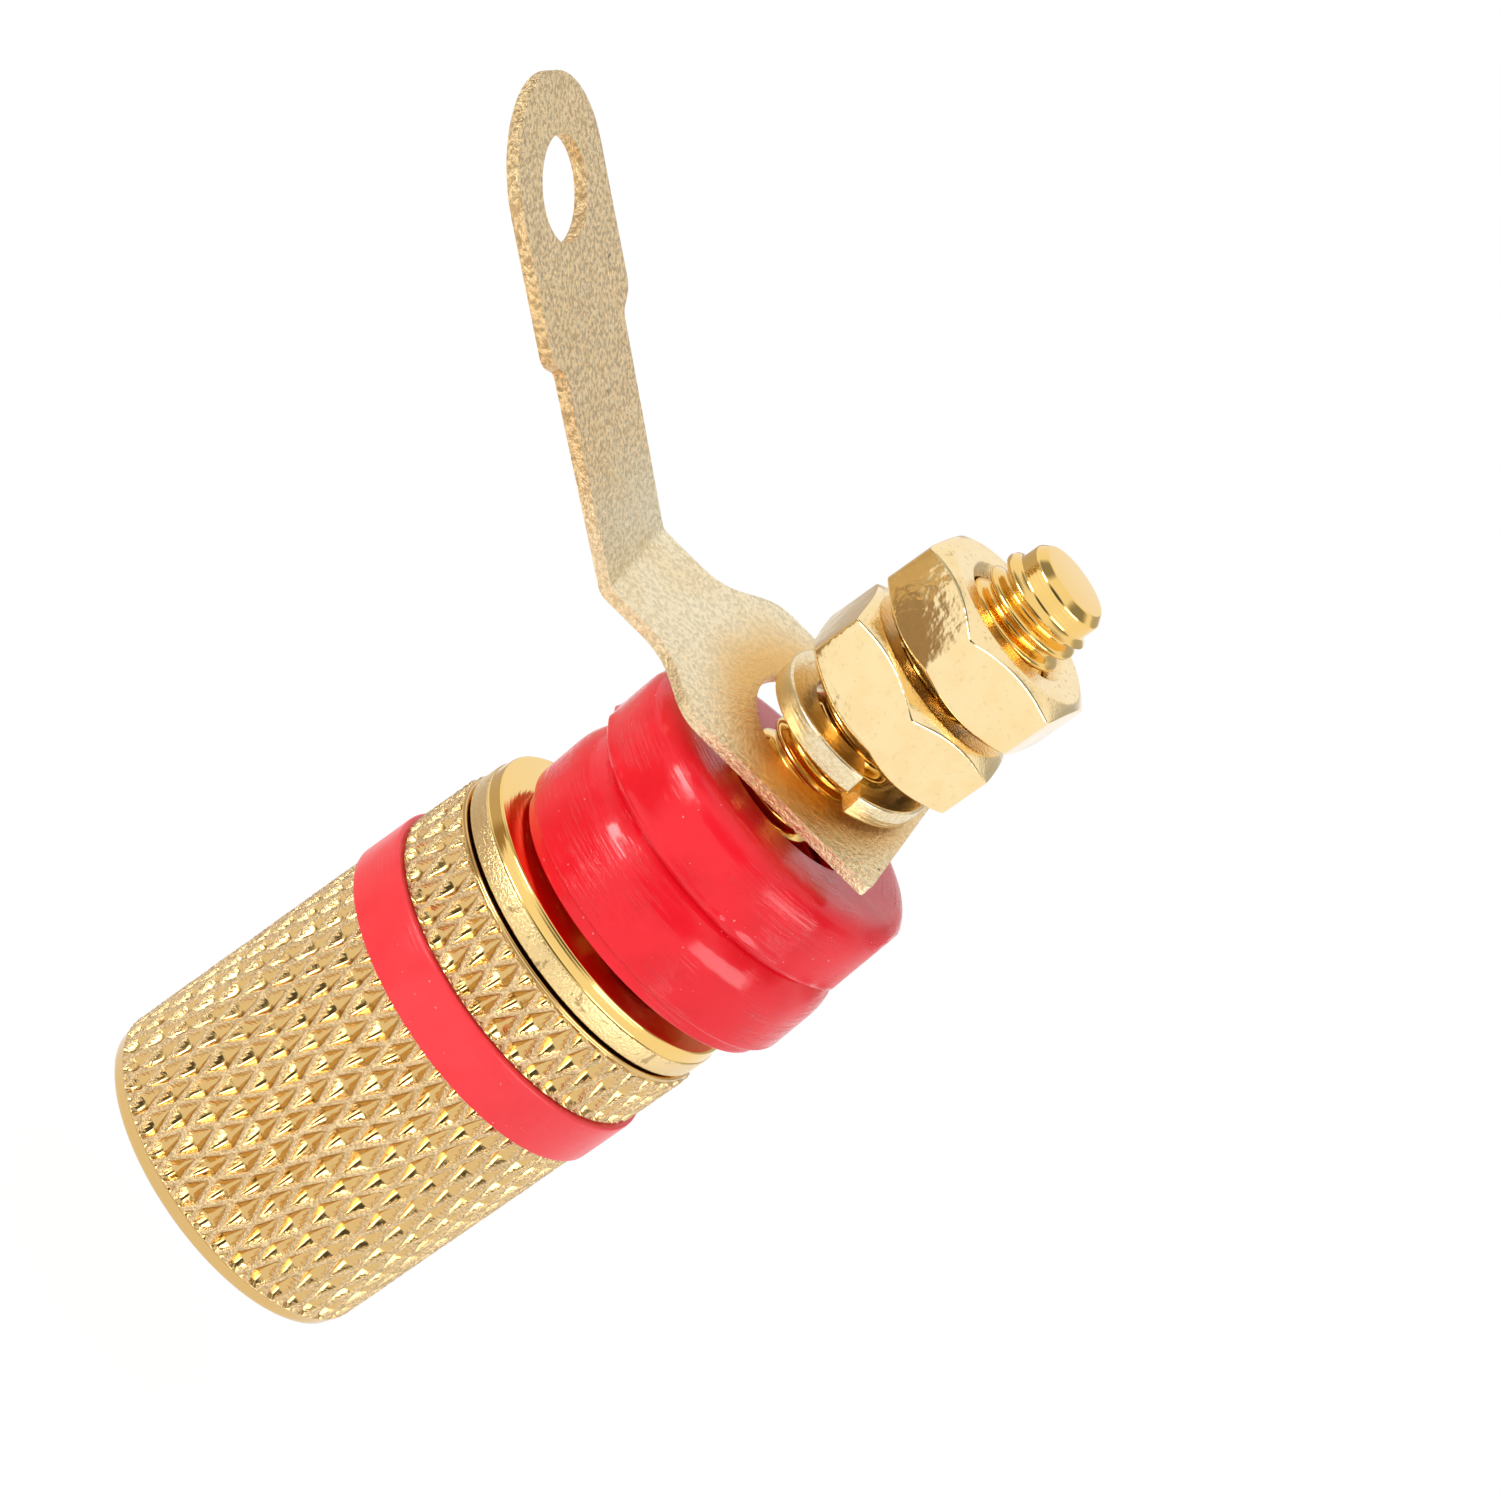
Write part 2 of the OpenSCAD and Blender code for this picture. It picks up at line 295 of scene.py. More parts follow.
class Graph:
    """The nodes of one material or of the world."""

    def __init__(self, owner):
        owner.use_nodes = True
        self.tree = owner.node_tree
        self.tree.nodes.clear()

    def node(self, kind, sockets=None, out=0, **settings):
        """Adds a node with its settings, then the values or links of its sockets."""
        made = self.tree.nodes.new(kind)
        for name, value in settings.items():
            setattr(made, name, value)
        for name, value in (sockets or {}).items():
            if isinstance(value, Value):
                self.tree.links.new(value.socket, made.inputs[name])
            else:
                made.inputs[name].default_value = value
        return Value(self, made.outputs[out]) if len(made.outputs) else None

    def mix(self, factor, first, second):
        """One colour to another."""
        first, second = (one if isinstance(one, Value) else (*one, 1) for one in (first, second))
        return self.node("ShaderNodeMix", {0: factor, 6: first, 7: second}, out=2, data_type="RGBA")

    def coords(self):
        """A point's place on its own piece, before the piece leans."""
        return self.node("ShaderNodeAttribute", out="Vector", attribute_name="own")

    def axes(self, vector):
        """The three parts of a vector."""
        split = self.node("ShaderNodeSeparateXYZ", {0: vector})
        outputs = split.socket.node.outputs
        return [Value(self, outputs[k]) for k in range(3)]

    def noise(self, detail=2.0, rough=0.5, scale=1.0, **place):
        """Noise from 0 to 1 at a place that its Vector or its W gives."""
        sockets = {**place, "Scale": scale, "Detail": detail, "Roughness": rough}
        dimensions = "1D" if "W" in place else "3D"
        return self.node("ShaderNodeTexNoise", sockets, out="Fac", noise_dimensions=dimensions)

    def grain(self, size, detail=2.0, rough=0.5):
        """Noise with features of about that size in mm."""
        return self.noise(detail, rough, 1 / (size * MM), Vector=self.coords())

    def drawn(self, around, across, along, detail, rough=0.5):
        """Marks that run round the axis: how many in a radian, and in a metre across and along."""
        a, r, z = self.round_coords()
        place = self.node("ShaderNodeCombineXYZ", {0: a * around, 1: r * across, 2: z * along})
        return self.noise(detail, rough, Vector=place)

    def bump(self, height, depth):
        """Bump from a height of 0 to 1 that stands for depth in mm."""
        return self.node("ShaderNodeBump", {"Height": height, "Distance": depth * MM, "Strength": 1.0})

    def round_coords(self):
        """A point's angle round the axis, its distance from it and its height."""
        x, y, z = self.axes(self.coords())
        return y.math("ARCTAN2", x), (x * x + y * y) ** 0.5, z


def finish(name, sockets, links):
    """A material with one Principled shader: fixed values, and links from a function of its graph."""
    material = bpy.data.materials.new(name)
    graph = Graph(material)
    sockets = dict(sockets)
    sockets.update(links(graph))
    shader = graph.node("ShaderNodeBsdfPrincipled", sockets)
    graph.node("ShaderNodeOutputMaterial", {"Surface": shader})
    return material


def painted(graph, name):
    """A mask that the mesh carries, 0 to 1."""
    return graph.node("ShaderNodeAttribute", out="Fac", attribute_name=name)


def gold_knurl():
    """Frosted net of ridges over smooth glossy pits; the pits' darker, deeper gold is painted shade."""
    gold = settings().gold

    def links(g):
        frost = painted(g, "frost")
        fine = g.grain(0.09, detail=3, rough=0.65)
        coarse = g.grain(0.5)
        # Painted shade: the pits get a darker, deeper gold than the ridges, for the shade in the recesses.
        tint = g.mix(frost, gold.pit, gold.ridge)
        speckle = fine.between(0.4, 0.62)
        return {
            "Base Color": g.mix((1 - speckle) * frost * 0.65, tint, (0.42, 0.26, 0.1)),
            "Roughness": frost * 0.2 + coarse * 0.06 + 0.08,
            "Normal": g.bump(fine * (frost * 0.95 + 0.05), 0.09),
        }

    return finish("knurl_gold", {"Metallic": 1.0}, links)


def gold_turned():
    """Plate over turned brass, frosted on the collar's front band."""
    gold = settings().gold

    def links(g):
        frost = painted(g, "frost")
        fine = g.grain(0.1, detail=3, rough=0.6)
        _, r, z = g.round_coords()
        lathe = g.noise(W=r * 9000 + z * 5000)
        spots = g.grain(0.55, detail=2).between(0.64, 0.7) * frost
        tint = g.mix(frost, gold.turned, gold.band)
        return {
            "Base Color": g.mix(spots * 0.6, tint, (0.3, 0.19, 0.07)),
            "Roughness": frost * 0.14 + lathe * 0.06 + 0.07,
            "Normal": g.bump(fine * frost * 0.95 + lathe * 0.15, 0.045),
        }

    return finish("post_gold", {"Metallic": 1.0}, links)


def gold_nut():
    """Smooth flats with a faint pebbled plate, and turned faces with a grain."""
    gold = settings().gold

    def links(g):
        face = painted(g, "frost")
        fine = g.grain(0.11, detail=3)
        soft = g.grain(0.75, detail=1)
        pebbles = g.grain(0.3, detail=1)
        speckle = g.grain(0.2, detail=2).between(0.6, 0.72)
        tint = g.mix(soft.between(0.35, 0.7) * 0.5, gold.nut, (0.96, 0.7, 0.33))
        return {
            "Base Color": g.mix(speckle * (face * 0.4 + 0.16), tint, (0.5, 0.31, 0.1)),
            "Roughness": face * 0.14 + soft * 0.08 + 0.05,
            "Normal": g.bump(fine * (face * 0.7 + 0.1) + pebbles * 0.5 + soft * 0.5, 0.022),
        }

    return finish("nut_gold", {"Metallic": 1.0}, links)


def gold_lug():
    """Frosted plate over stamped sheet, with a few dark pits and a warmer edge; the paler seat is a painted
    highlight, and the darker arm and the darker gold round the stud hole are painted shade.
    """
    gold = settings().gold

    def links(g):
        fine = g.grain(0.17, detail=4, rough=0.65)
        patch = g.grain(2.4)
        edge = painted(g, "edge")
        stud_shade = painted(g, "painted_stud_shade")
        grains = fine.between(0.4, 0.56)
        _, _, z = g.axes(g.coords())
        # Painted light: the lug's arm gets a darker gold than the seat as painted shade, and the seat a paler gold
        # as a painted highlight.
        arm = z.between(0.6 * MM, 3.5 * MM)
        plate = g.mix(arm, gold.lug, gold.arm)
        plate = g.mix(patch.between(0.4, 0.68) * 0.35, plate, (0.97, 0.73, 0.37))
        # Painted shade: round the stud hole, under the washer and nuts, the gold turns darker and deeper.
        plate = g.mix(stud_shade * 0.85, plate, (0.85, 0.47, 0.1))
        plate = g.mix(edge * 0.7, plate, (0.8, 0.48, 0.18))
        # Dark grain, heavier on the lug's arm as part of its painted shade, and lighter round the stud hole.
        plate = g.mix((1 - grains) * (1 - stud_shade * 0.7) * (arm * 0.35 + 0.3), plate, (0.4, 0.25, 0.09))
        pits = g.grain(0.5, detail=1).between(0.78, 0.81)
        return {
            "Base Color": g.mix(pits * 0.85, plate, (0.08, 0.05, 0.03)),
            "Roughness": fine * 0.18 + 0.15 - stud_shade * 0.07,
            "Normal": g.bump(fine * (arm * 0.5 + 0.5), 0.16),
        }

    return finish("lug_gold", {"Metallic": 1.0}, links)


def gold_washer():
    """Paler plate over drawn spring metal, with marks that run round it."""
    gold = settings().gold

    def links(g):
        drawn = g.drawn(1.5, 9000, 9000, detail=3)
        fine = g.grain(0.12, detail=3)
        return {
            "Base Color": g.mix(fine.between(0.35, 0.65) * 0.6, gold.washer, (0.74, 0.56, 0.3)),
            "Roughness": drawn * 0.22 + 0.1,
            "Normal": g.bump(drawn * 0.7 + fine * 0.3, 0.03),
        }

    return finish("washer_gold", {"Metallic": 1.0}, links)


def red_plastic(name, colour, dark, scratch, roughness):
    """Moulded plastic with fine marks round it, small pale specks and a soft ripple."""

    def links(g):
        marks = g.drawn(2.2, 7000, 11000, detail=4, rough=0.65)
        patch = g.grain(2.2).between(0.42, 0.66)
        ripple = g.grain(1.3)
        specks = g.grain(0.13, detail=0).between(0.84, 0.87)
        lines = marks.between(0.45, 0.75) * patch
        body = g.mix(ripple.between(0.3, 0.8) * 0.35, colour, dark)
        marked = g.mix(lines * scratch * 0.3, body, (1.0, 0.16, 0.18))
        return {
            "Base Color": g.mix(specks * 0.35, marked, (1.0, 0.6, 0.58)),
            "Roughness": lines * scratch + roughness,
            "Normal": g.bump(lines * scratch * 1.4 + ripple * 0.7 + specks * 0.25, 0.04),
        }

    fixed = {
        "Subsurface Weight": 0.06, "Subsurface Radius": (1.0, 0.1, 0.08), "Subsurface Scale": 0.4 * MM,
        "IOR": 1.42,
    }
    return finish(name, fixed, links)


# ---------- settings ----------


class KnurlSettings(bpy.types.PropertyGroup):
    count: IntProperty(name="Diamonds", description="Diamonds in one turn of the knurl", default=41, min=20, max=80)
    pitch: FloatProperty(
        name="Length", description="Length of one diamond along the nut, in mm", default=2.28, min=1, max=5,
    )
    depth: FloatProperty(name="Depth", description="Depth of the pits, in mm", default=0.33, min=0.05, max=0.5)
    ridge: FloatProperty(
        name="Ridge", description="Half the width of a ridge's flat top, in mm", default=0.03, min=0, max=0.3,
    )


class ThreadSettings(bpy.types.PropertyGroup):
    stud_pitch: FloatProperty(
        name="Stud pitch", description="Pitch of the stud's thread, in mm", default=0.7, min=0.3, max=2,
    )
    front_pitch: FloatProperty(
        name="Front pitch", description="Pitch of the thumb nut's thread, in mm", default=1.0, min=0.3, max=2,
    )


class GoldSettings(bpy.types.PropertyGroup):
    ridge: FloatVectorProperty(
        name="Knurl ridges", description="Frosted gold of the knurl's ridges", subtype="COLOR",
        default=(0.9, 0.68, 0.39), min=0, max=1,
    )
    # Painted shade: the pits' gold is darker and deeper than the ridges', for the shade in the recesses.
    pit: FloatVectorProperty(
        name="Knurl pits", description="Bright gold in the knurl's pits", subtype="COLOR",
        default=(0.74, 0.49, 0.19), min=0, max=1,
    )
    turned: FloatVectorProperty(
        name="Post", description="Gold of the post's turned faces", subtype="COLOR",
        default=(0.93, 0.62, 0.2), min=0, max=1,
    )
    band: FloatVectorProperty(
        name="Collar band", description="Frosted gold of the collar's front band", subtype="COLOR",
        default=(0.93, 0.68, 0.32), min=0, max=1,
    )
    nut: FloatVectorProperty(
        name="Nuts", description="Gold of the hexagon nuts", subtype="COLOR",
        default=(0.98, 0.77, 0.42), min=0, max=1,
    )
    # Painted light on one plated sheet: the seat's paler gold is a painted highlight and the arm's darker gold is
    # painted shade.
    lug: FloatVectorProperty(
        name="Lug seat", description="Frosted gold of the lug's seat", subtype="COLOR",
        default=(1.0, 0.87, 0.6), min=0, max=1,
    )
    arm: FloatVectorProperty(
        name="Lug arm", description="Frosted gold of the lug's arm", subtype="COLOR",
        default=(0.95, 0.73, 0.42), min=0, max=1,
    )
    washer: FloatVectorProperty(
        name="Washer", description="Gold of the spring washer", subtype="COLOR",
        default=(0.9, 0.76, 0.5), min=0, max=1,
    )


class PlasticSettings(bpy.types.PropertyGroup):
    red: FloatVectorProperty(
        name="Red", description="Colour of the insulators, and the darker one in the ring's ripple", subtype="COLOR",
        default=(0.79, 0.009, 0.02), min=0, max=1,
    )
    deep_red: FloatVectorProperty(
        name="Deep red", description="Darker colour in the insulators' ripple", subtype="COLOR",
        default=(0.6, 0.003, 0.01), min=0, max=1,
    )
    # Painted sheen: the ring's red is paler and pinker than the insulators', for the gloss it shows.
    ring: FloatVectorProperty(
        name="Ring", description="Colour of the ring", subtype="COLOR",
        default=(0.84, 0.04, 0.05), min=0, max=1,
    )


class StudioSettings(bpy.types.PropertyGroup):
    key: FloatProperty(name="Key", description="Power of the key lamp", default=1.35, min=0, max=50, unit="POWER")
    fill: FloatProperty(name="Fill", description="Power of the fill lamp", default=1.7, min=0, max=50, unit="POWER")
    sky: FloatProperty(name="Sky", description="Level of the even light from all round", default=0.6, min=0, max=2)


class BindingPostSettings(bpy.types.PropertyGroup):
    knurl: PointerProperty(type=KnurlSettings)
    thread: PointerProperty(type=ThreadSettings)
    gold: PointerProperty(type=GoldSettings)
    plastic: PointerProperty(type=PlasticSettings)
    studio: PointerProperty(type=StudioSettings)


def settings():
    """What the user has set."""
    return bpy.context.scene.binding_post


# ---------- pieces ----------


def dress(piece, node, body, material, lean=None):
    """A piece takes the place of its CAD node, rides on its body and gets its finish.

    Its points' own places are kept for the finish before it leans.
    """
    mesh = piece.data
    places = np.zeros(len(mesh.vertices) * 3, dtype=np.float32)
    mesh.vertices.foreach_get("co", places)
    mesh.attributes.new("own", "FLOAT_VECTOR", "POINT").data.foreach_set("vector", places)
    if lean:
        mesh.transform(lean)
    mesh.materials.clear()
    mesh.materials.append(material)
    bpy.context.view_layer.update()
    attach(piece, body)
    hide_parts(node)


def knurl_pit(a, z, knurl):
    """How deep in a pit a point lies, 0 on the net of ridges and 1 at a pit's middle."""
    s, t = a / TURN * knurl.count, z / knurl.pitch
    width = TURN * KNURL_R / knurl.count
    across = 1 / math.hypot(1 / width, 1 / knurl.pitch)
    away = [np.abs(q - np.round(q)) * across for q in (s + t, s - t)]
    nearest = np.minimum(away[0], away[1] * RIDGE_RATIO)
    bowl = np.clip((nearest - knurl.ridge) / (across * 0.5 - knurl.ridge), 0, 1)
    return 1 - (1 - bowl) ** PIT_FULLNESS


class BindingPostThumbNut(bpy.types.Operator):
    """Make the knurled thumb nut"""

    bl_idname = "binding_post.thumb_nut"
    bl_label = "Thumb nut"

    def execute(self, context):
        knurl = settings().knurl
        end = THUMB_END
        line = rounded([
            (MOUTH_R, LIP, 0.05), (MOUTH_R, 0.4, 0.1), (MOUTH_R + 0.4, 0, 0.1), (RIM_R, 0, 0.42),
            (6.1, 0.48, 0.03), (KNURL_R, 0.56, 0.03), (KNURL_R, RING_LOW - 0.04, 0.04),
            (SEAT_R, RING_LOW - 0.03, 0.03), (SEAT_R, RING_HIGH + 0.03, 0.03),
            (6.12, RING_HIGH + 0.04, 0.03), (KNURL_R, RING_HIGH + 0.12, 0.03),
            (KNURL_R, end - 0.2, 0.03), (RIM_R, end - 0.14, 0.03), (RIM_R, end, 0.06), (4.1, end, 0.05),
            (BORE_R, end - 0.5, 0.05), (BORE_R, LIP, 0.02),
        ], steps=3)
        line = divided(line, 0.1, lambda p, q: min(p[0], q[0]) > 6.15)
        r, z, a = all_round(line, knurl.count * 10)
        drift = np.sin(a * 5 + z * 0.9) * 0.012 + np.sin(a * 11 - z * 1.7) * 0.008
        pit = knurl_pit(a + drift, z, knurl)
        on = (r > 6.14) * ease(0.5, 0.7, z) * (1 - ease(end - 0.25, end - 0.12, z))
        frost = (1 - ease(0.12, 0.4, pit)) * on
        piece = turned("knurled_thumb_nut", r - pit * on * knurl.depth, z, masks={"frost": frost})
        dress(piece, "thumb_nut", "thumb_nut_body", gold_knurl())
        return {"FINISHED"}


class BindingPostRing(bpy.types.Operator):
    """Make the red colour ring"""

    bl_idname = "binding_post.ring"
    bl_label = "Colour ring"

    def execute(self, context):
        plastic = settings().plastic
        line = rounded([
            (SEAT_R + 0.03, RING_LOW, 0.03), (RING_R, RING_LOW, 0.06), (RING_R, RING_HIGH, 0.12),
            (SEAT_R + 0.03, RING_HIGH, 0.03),
        ])
        line = divided(line, 0.25, lambda p, q: min(p[0], q[0]) > KNURL_R)
        r, z, a = all_round(line, 256)
        r = np.where(r > KNURL_R, r - 0.012 + np.sin(a * 3 + 1) * 0.006 + np.sin(a * 9 + z) * 0.004, r)
        piece = turned("colour_ring_moulding", r, z)
        # The ring's paler, pinker red is a painted sheen.
        material = red_plastic("ring_red", plastic.ring, plastic.red, 0.12, 0.28)
        dress(piece, "colour_ring", "ring_body", material)
        return {"FINISHED"}


class BindingPostPost(bpy.types.Operator):
    """Make the turned post with its threads, collar, socket and cross hole"""

    bl_idname = "binding_post.post"
    bl_label = "Post"

    def execute(self, context):
        thread = settings().thread
        low = BARREL_Z
        line = rounded([
            (0, low + 10.8, 0), (SOCKET_R, low + 9.6, 0.05), (SOCKET_R, low + 0.4, 0.05),
            (SOCKET_R + 0.4, low, 0.05), (BARREL_R - 0.4, low, 0.05), (BARREL_R, low + 0.4, 0.05),
            (BARREL_R, COLLAR_Z - 0.35, 0.05),
            (BARREL_R - 0.4, COLLAR_Z - 0.25, 0.05), (BARREL_R - 0.4, COLLAR_Z, 0.05),
            (COLLAR_R, COLLAR_Z, 0.14), (COLLAR_R, COLLAR_Z + 0.78, 0.04), (COLLAR_R - 0.06, COLLAR_Z + 0.84, 0.04),
            (COLLAR_R - 0.1, STUD_Z, 0.09), (STUD_R - 0.2, STUD_Z, 0.1), (STUD_R - 0.2, STUD_Z + 0.6, 0.1),
            (STUD_R, STUD_Z + 0.8, 0.05), (STUD_R, TIP_Z - 1.15, 0.1), (TIP_R, TIP_Z - 0.95, 0.08),
            (TIP_R, TIP_Z - 0.3, 0.07), (1.4, TIP_Z, 0.06), (0, TIP_Z, 0),
        ], closed=False, steps=3)
        line = divided(line, 0.055, lambda p, q: abs(p[0] - q[0]) < 0.01 and max(p[1], q[1]) > 20 and p[0] > 1.9)
        line = divided(line, 0.09, lambda p, q: abs(p[0] - q[0]) < 0.01 and p[1] < 15.9 and p[0] > 3.4)
        r, z, a = all_round(line, 120)
        on_stud = (np.abs(r - STUD_R) < 0.02) * ease(21.5, 22.5, z)
        r = r - on_stud * thread_cut(a, z, thread.stud_pitch) * STUD_THREAD_DEPTH
        on_front = (np.abs(r - BARREL_R) < 0.02) * (z < COLLAR_Z)
        r = r - on_front * thread_cut(a, z, thread.front_pitch) * FRONT_THREAD_DEPTH
        frost = (np.abs(line[:, 0] - COLLAR_R) < 0.03) & (line[:, 1] < COLLAR_Z + 0.83)
        piece = turned("turned_post", r, z, closed=False, masks={"frost": frost[:, None] + 0 * a})
        bpy.ops.mesh.primitive_cylinder_add(
            vertices=64, radius=CROSS_HOLE_R * MM, depth=12 * MM, location=(0, 0, CROSS_HOLE_Z * MM),
            rotation=(math.pi / 2, 0, 0),
        )
        drill = context.object
        cut = piece.modifiers.new("cross_hole", "BOOLEAN")
        cut.operation, cut.object, cut.solver = "DIFFERENCE", drill, "EXACT"
        applied(piece)
        bpy.data.objects.remove(drill)
        piece.data.set_sharp_from_angle(angle=math.radians(50))
        dress(piece, "post", "post_body", gold_turned())
        return {"FINISHED"}


def lean_matrix():
    """The slack insulators hang to one side of the stud and lean as one."""
    middle = (BOSS_Z + REAR_Z) / 2 * MM
    return (
        Matrix.Translation((DROP * MM, 0, middle))
        @ Matrix.Rotation(LEAN, 4, "Y")
        @ Matrix.Translation((0, 0, -middle))
    )


def moulded(name, corners, flat=None, lip=None):
    """A moulded bush: its profile, a soft ripple, a flat where its gate was trimmed and a ragged flash line.

    flat is the flat's distance from the axis. lip is the flash: its height, how far it stands and its width.
    """
    line = divided(rounded(corners, steps=8), 0.2, lambda p, q: min(p[0], q[0]) > 4.5)
    r, z, a = all_round(line, 240)
    outer = ease(4.5, 5.6, r)
    points = np.stack([r * np.cos(a), r * np.sin(a), z], -1).reshape(-1, 3)
    ripple = wobble(points, 2.4, 3.1).reshape(r.shape)
    r = r + (ripple * 0.022 - 0.02) * outer
    if lip:
        at, tall, width = lip
        ragged = 0.55 + 0.45 * np.sin(a * 23 + 2 * np.sin(a * 7)) * np.sin(a * 5 + 1)
        r = r + tall * ragged * np.exp(-(((z - at) / width) ** 2)) * outer
    if flat:
        limit = flat / np.maximum(np.cos(a - math.pi), 1e-3)
        r = np.where(np.cos(a - math.pi) > 0.3, np.minimum(r, limit), r)
    return turned(name, r, z)


class BindingPostInsulators(bpy.types.Operator):
    """Make the front and rear insulators"""

    bl_idname = "binding_post.insulators"
    bl_label = "Insulators"

    def execute(self, context):
        plastic = settings().plastic
        material = red_plastic("insulator_red", plastic.red, plastic.deep_red, 0.3, 0.13)
        bore, out = INSULATOR_BORE_R, INSULATOR_R
        crown = [
            (out - CROWN_R + math.sqrt(CROWN_R**2 - rise**2), PANEL_Z - CROWN_LEN + rise, 0)
            for rise in np.linspace(0, CROWN_LEN, 8)
        ]
        front = moulded("front_bush", [
            (bore, BOSS_Z, 0.1), (BOSS_R, BOSS_Z, 0.1), (BOSS_R, FRONT_Z, 0.05), (out, FRONT_Z, 0.3),
            *crown, (SPIGOT_R, PANEL_Z, 0.05), (SPIGOT_R, PANEL_Z + 1.3, 0.1), (bore, PANEL_Z + 1.3, 0.1),
        ])
        rear = moulded("rear_bush", [
            (bore, PANEL_Z + 1.5, 0.1), (4.1, PANEL_Z + 1.4, 0.05), (4.1, PANEL_Z, 0.1), (out, PANEL_Z, 0.38),
            (out, REAR_Z, 1.1), (bore, REAR_Z, 0.15),
        ], flat=out - 0.22, lip=(PANEL_Z + 0.3, 0.1, 0.09))
        for piece, node in ((front, "front_insulator"), (rear, "rear_insulator")):
            dress(piece, node, "post_body", material, lean_matrix())
        return {"FINISHED"}


def bent(t, y, w):
    """A point of the flat sheet (along, across, up from its underside) on the bent lug, in mm."""
    middle = BEND_R + LUG_T / 2
    centre = LUG_T + BEND_R
    turn = min(max((t - BEND_AT) / middle, 0), BEND)
    beyond = max(t - BEND_AT - BEND * middle, 0)
    reach = centre - w
    x = min(t, BEND_AT) + reach * math.sin(turn) + beyond * math.cos(turn)
    return x, y, centre - reach * math.cos(turn) + beyond * math.sin(turn) - LUG_T / 2


def lug_outline():
    """The flat sheet's outline and its two holes, as closed lines, and where its bend ends."""
    start = BEND_AT + BEND * (BEND_R + LUG_T / 2)
    half = [
        (-4.5, SEAT_HALF, 0.25), (3.8, SEAT_HALF, 0.7), (5.7, NECK_HALF, 0.9), (start, NECK_HALF, 0.3),
        (start + 7.6, 2.7, 0.25), (start + 8.1, EYE_HALF, 0.5), (start + EYE_AT, EYE_HALF, 0),
    ]
    end = [
        (start + EYE_AT + EYE_HALF * math.cos(k), EYE_HALF * math.sin(k), 0)
        for k in np.linspace(math.pi / 2, -math.pi / 2, 34)[1:-1]
    ]
    outline = rounded(half + end + [(x, -y, radius) for x, y, radius in reversed(half)])

    def hole(x, radius, count):
        return np.stack([x + radius * np.cos(angles(count)), radius * np.sin(angles(count))], -1)

    return outline, hole(SEAT_HOLE_X, SEAT_HOLE_R, 72), hole(start + EYE_HOLE_AT, EYE_HOLE_R, 56), start


class BindingPostLug(bpy.types.Operator):
    """Make the bent solder lug"""

    bl_idname = "binding_post.lug"
    bl_label = "Solder lug"

    def execute(self, context):
        outline, hole, eye, start = lug_outline()
        work = bmesh.new()
        edges = []
        for line in (outline, hole, eye):
            ring = [work.verts.new((x, y, 0)) for x, y in line]
            edges += [work.edges.new((ring[i - 1], ring[i])) for i in range(len(ring))]
        bmesh.ops.triangle_fill(work, use_beauty=True, edges=edges)
        cuts = list(np.arange(-4, start + 16, 0.6)) + list(np.linspace(BEND_AT, start, 9))
        planes = [((t, 0, 0), (1, 0, 0)) for t in cuts]
        planes += [((0, y, 0), (0, 1, 0)) for y in np.arange(-3.6, 4, 0.6)]
        for place, normal in planes:
            whole = work.verts[:] + work.edges[:] + work.faces[:]
            bmesh.ops.bisect_plane(work, geom=whole, plane_co=place, plane_no=normal)
        bmesh.ops.recalc_face_normals(work, faces=work.faces)
        raised = bmesh.ops.extrude_face_region(work, geom=work.faces[:])["geom"]
        for v in raised:
            if isinstance(v, bmesh.types.BMVert):
                v.co.z = LUG_T
        for v in work.verts:
            v.co = Vector(bent(*v.co)) * MM
        bmesh.ops.recalc_face_normals(work, faces=work.faces)
        mesh = bpy.data.meshes.new("bent_lug")
        work.to_mesh(mesh)
        work.free()
        piece = bpy.data.objects.new("bent_lug", mesh)
        context.scene.collection.objects.link(piece)
        bevel = piece.modifiers.new("soft_edges", "BEVEL")
        bevel.width, bevel.segments = 0.05 * MM, 2
        bevel.limit_method, bevel.angle_limit = "ANGLE", math.radians(50)
        applied(piece)
        x, y, z = LUG_TURN
        seat = Vector((LUG_PLACE[0], LUG_PLACE[1], REAR_Z + LUG_PLACE[2])) * MM
        pose = Matrix.Rotation(z, 4, "Z") @ Matrix.Rotation(y, 4, "Y") @ Matrix.Rotation(x, 4, "X")
        normals = np.array([tuple(v.normal) for v in piece.data.vertices])
        flat = np.maximum(np.abs(normals[:, 2]), np.abs(normals @ (-math.sin(BEND), 0, math.cos(BEND))))
        paint(piece.data, "edge", 1 - ease(0.5, 0.9, flat))
        # Painted shade: a mask round the stud hole, where the washer and nuts sit, that darkens the lug's gold
        # there.
        from_hole = np.array([math.hypot(v.co.x / MM - SEAT_HOLE_X, v.co.y / MM) for v in piece.data.vertices])
        paint(piece.data, "painted_stud_shade", 1 - ease(3.1, 5.4, from_hole))
        piece.data.shade_smooth()
        piece.data.set_sharp_from_angle(angle=math.radians(40))
        dress(piece, "solder_lug", "lug_body", gold_lug(), Matrix.Translation(seat) @ pose)
        return {"FINISHED"}


